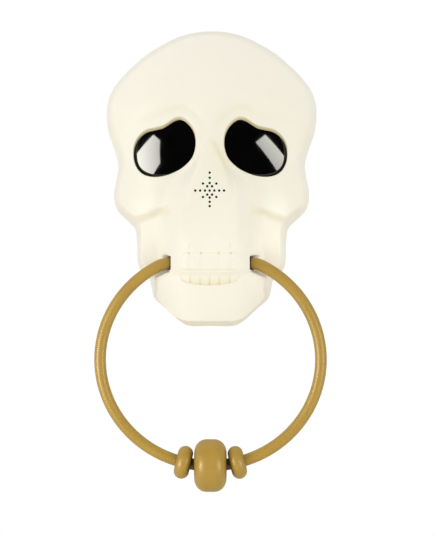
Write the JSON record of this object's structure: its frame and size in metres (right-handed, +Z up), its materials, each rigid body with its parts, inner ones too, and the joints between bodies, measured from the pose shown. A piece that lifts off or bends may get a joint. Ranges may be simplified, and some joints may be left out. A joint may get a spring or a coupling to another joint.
{
  "type": "animated skull door knocker decoration",
  "caption": "Wall-hung skull door knocker: hollow flat-backed skull with dark domed eye lenses, grille in the nose, and a motor-driven ring with beads hinged at the corners of its mouth.",
  "frame": {"origin": "on the flat back that lies against the door, on the symmetry plane, at the height of the knocker's hinge axis", "axes": "+Z up along the skull, +Y out of the back into the door, the face looks along -Y, +X to the viewer's right"},
  "size_m": [0.1628, 0.065, 0.3273],
  "materials": {
    "bone_plastic": "satin moulded",
    "gold_plastic": "satin gold paint",
    "lens_plastic": "polished smoke black",
    "white_plastic": "smooth white",
    "led_epoxy": "clear",
    "screw_steel": "zinc plated",
    "steel": "plain",
    "nylon": "natural",
    "dark_plastic": "moulded",
    "ferrite": "sintered",
    "cone_paper": "pressed paper",
    "board": "solder mask",
    "cell_jacket": "plain printed jacket",
    "brass": "plain"
  },
  "bodies": {
    "housing": {"skull_shell": "bone_plastic", "back_cover": "bone_plastic", "eye_lens_right": "lens_plastic", "eye_lens_left": "lens_plastic", "eye_reflector_right": "white_plastic", "eye_reflector_left": "white_plastic", "eye_led_right": "led_epoxy", "eye_led_left": "led_epoxy", "case_screw_1": "screw_steel", "case_screw_2": "screw_steel", "case_screw_3": "screw_steel", "case_screw_4": "screw_steel", "case_screw_5": "screw_steel", "eye_screw_right_upper": "screw_steel", "eye_screw_right_lower": "screw_steel", "eye_screw_left_upper": "screw_steel", "eye_screw_left_lower": "screw_steel", "bearing_screw_right_upper": "screw_steel", "bearing_screw_right_lower": "screw_steel", "bearing_screw_left_upper": "screw_steel", "bearing_screw_left_lower": "screw_steel", "speaker_screw_right": "screw_steel", "speaker_screw_left": "screw_steel", "bracket_screw_upper": "screw_steel", "bracket_screw_lower": "screw_steel", "board_screw_1": "screw_steel", "board_screw_2": "screw_steel", "reduction_pin": "steel", "motor_can": "steel", "speaker_basket": "steel", "bearing_cap_right": "nylon", "bearing_cap_left": "nylon", "speaker_clamp": "nylon", "drive_bracket": "nylon", "motor_cap": "dark_plastic", "sound_chip": "dark_plastic", "switch_body": "dark_plastic", "speaker_magnet": "ferrite", "speaker_cone": "cone_paper", "main_board": "board", "battery_cell_1": "cell_jacket", "battery_cell_2": "cell_jacket", "battery_cell_3": "cell_jacket", "contact_minus": "brass", "contact_link_lower": "brass", "contact_link_upper": "brass", "contact_plus": "brass"},
    "knocker": {"knocker_ring": "gold_plastic", "knocker_bead": "gold_plastic", "knocker_side_bead_right": "gold_plastic", "knocker_side_bead_left": "gold_plastic", "knocker_axle": "steel", "sector_gear": "nylon"},
    "reduction_gear": {"reduction_gear": "nylon"},
    "motor_pinion": {"motor_pinion": "brass"},
    "battery_door": {"battery_door": "bone_plastic", "battery_door_screw": "screw_steel"},
    "switch_knob": {"switch_knob": "dark_plastic"}
  },
  "joints": [
    {"name": "knocker_swing", "type": "hinge", "parent": "housing", "child": "knocker", "pos_m": [0, -0.04, 0], "axis": [-1, 0, 0], "range_deg": [-8, 60]},
    {"name": "reduction_gear_spin", "type": "hinge", "parent": "housing", "child": "reduction_gear", "pos_m": [0.008, -0.02437, 0.00903], "axis": [-1, 0, 0], "range_deg": [-310, 50]},
    {"name": "motor_pinion_spin", "type": "hinge", "parent": "housing", "child": "motor_pinion", "pos_m": [0.008, -0.02437, 0.02402], "axis": [-1, 0, 0], "range_deg": [-130, 910]},
    {"name": "battery_door_open", "type": "hinge", "parent": "housing", "child": "battery_door", "pos_m": [0, 0, 0.1165], "axis": [1, 0, 0], "range_deg": [0, 80]},
    {"name": "switch_slide", "type": "slide", "parent": "housing", "child": "switch_knob", "axis": [1, 0, 0], "range_m": [0, 0.004]}
  ],
  "couplings": [
    {"joint": "reduction_gear_spin", "follows": "knocker_swing", "ratio": -5},
    {"joint": "motor_pinion_spin", "follows": "knocker_swing", "ratio": 15}
  ]
}
